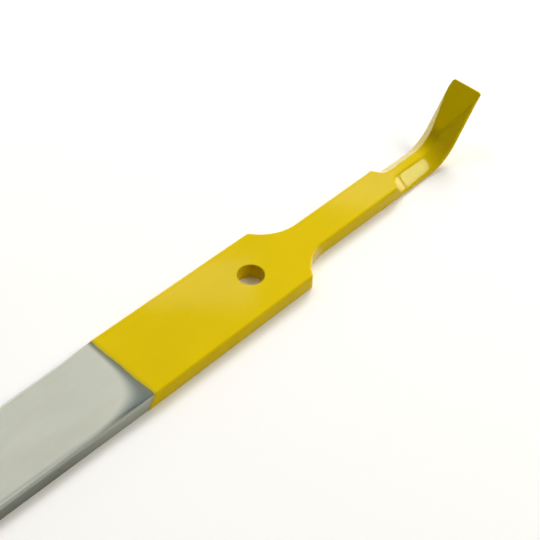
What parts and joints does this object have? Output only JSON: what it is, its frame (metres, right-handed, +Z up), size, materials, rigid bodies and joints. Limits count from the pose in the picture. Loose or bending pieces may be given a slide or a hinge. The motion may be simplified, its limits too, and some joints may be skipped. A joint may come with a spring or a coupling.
{
  "type": "pry bar",
  "caption": "Flat pry bar: bare steel chisel blade, painted grip with a hanging hole, narrow neck and a bevelled hook bent up at the far end.",
  "frame": {"origin": "bottom centre of the box round the whole bar, on its flat underside", "axes": "+X along the bar from the chisel blade towards the hook, +Z up, the way the hook is bent, +Y to the left"},
  "size_m": [0.26, 0.03, 0.0233],
  "materials": {
    "bare_steel": "satin, ground along the bar, darker towards the paint line and darkest in its -Y corner",
    "yellow_paint": "smooth semi-gloss enamel with a faint orange peel"
  },
  "bodies": {
    "root": {"steel_bar": "bare_steel", "paint_coat": "yellow_paint"}
  },
  "joints": []
}
